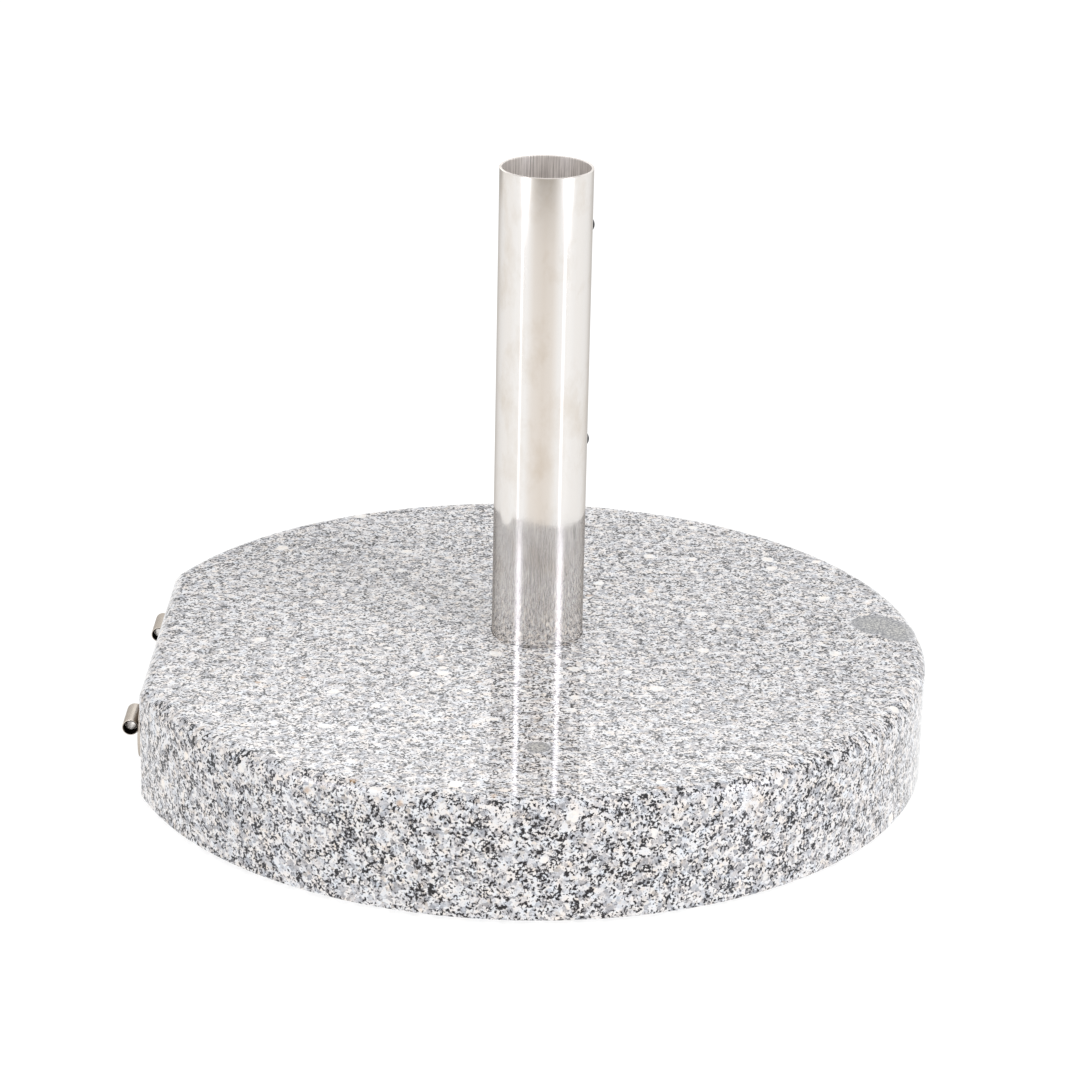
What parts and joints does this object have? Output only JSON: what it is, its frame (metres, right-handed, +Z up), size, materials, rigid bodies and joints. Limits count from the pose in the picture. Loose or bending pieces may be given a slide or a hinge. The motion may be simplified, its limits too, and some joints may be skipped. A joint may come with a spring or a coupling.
{
  "type": "parasol base",
  "caption": "Round polished granite parasol base with one flat side, a brushed stainless standing tube with two clamp screws, and two handle sockets on the flat side.",
  "frame": {"origin": "on the ground under the centre of the round slab", "axes": "+Z up along the standing tube; -X out of the slab's flat side; Y along the flat side"},
  "size_m": [0.493, 0.5, 0.375],
  "materials": {
    "granite": "polished, light grey speckled",
    "stainless_tube": "fine brushing along the tube",
    "stainless_bracket": "satin",
    "zinc_steel": "dull zinc plate",
    "black_oxide": "black oxide, slightly oiled",
    "nylon": "matt, natural white",
    "brass": "machined",
    "rubber": "matt"
  },
  "bodies": {
    "base": {"granite_slab": "granite", "pole_tube": "stainless_tube", "tube_foot": "stainless_bracket", "centre_bolt": "zinc_steel", "spring_washer": "zinc_steel", "backing_plate": "zinc_steel", "clamp_insert_upper": "stainless_bracket", "clamp_insert_lower": "stainless_bracket", "bracket_plate_front": "stainless_bracket", "handle_socket_front": "stainless_bracket", "bracket_screw_front_1": "stainless_bracket", "stone_anchor_front_1": "brass", "bracket_screw_front_2": "stainless_bracket", "stone_anchor_front_2": "brass", "bracket_plate_rear": "stainless_bracket", "handle_socket_rear": "stainless_bracket", "bracket_screw_rear_1": "stainless_bracket", "stone_anchor_rear_1": "brass", "bracket_screw_rear_2": "stainless_bracket", "stone_anchor_rear_2": "brass", "floor_pad_1": "rubber", "floor_pad_2": "rubber", "floor_pad_3": "rubber", "floor_pad_4": "rubber", "floor_pad_5": "rubber", "floor_pad_6": "rubber"},
    "upper_tip": {"clamp_tip_upper": "nylon"},
    "upper_screw": {"clamp_screw_upper": "black_oxide"},
    "lower_tip": {"clamp_tip_lower": "nylon"},
    "lower_screw": {"clamp_screw_lower": "black_oxide"}
  },
  "joints": [
    {"name": "upper_screw_travel", "type": "slide", "parent": "base", "child": "upper_tip", "axis": [-0.6361, -0.7716, 0], "range_m": [0, 0.0105]},
    {"name": "upper_screw_turn", "type": "hinge", "parent": "upper_tip", "child": "upper_screw", "pos_m": [0.03117, 0.03732, 0.332], "axis": [-0.6361, -0.7716, 0], "range_deg": [0, 3780]},
    {"name": "lower_screw_travel", "type": "slide", "parent": "base", "child": "lower_tip", "axis": [-0.6361, -0.7716, 0], "range_m": [0, 0.0105]},
    {"name": "lower_screw_turn", "type": "hinge", "parent": "lower_tip", "child": "lower_screw", "pos_m": [0.03117, 0.03732, 0.194], "axis": [-0.6361, -0.7716, 0], "range_deg": [0, 3780]}
  ],
  "couplings": [
    {"joint": "upper_screw_turn", "follows": "upper_screw_travel", "rad_per_m": 6283.2},
    {"joint": "lower_screw_turn", "follows": "lower_screw_travel", "rad_per_m": 6283.2}
  ]
}
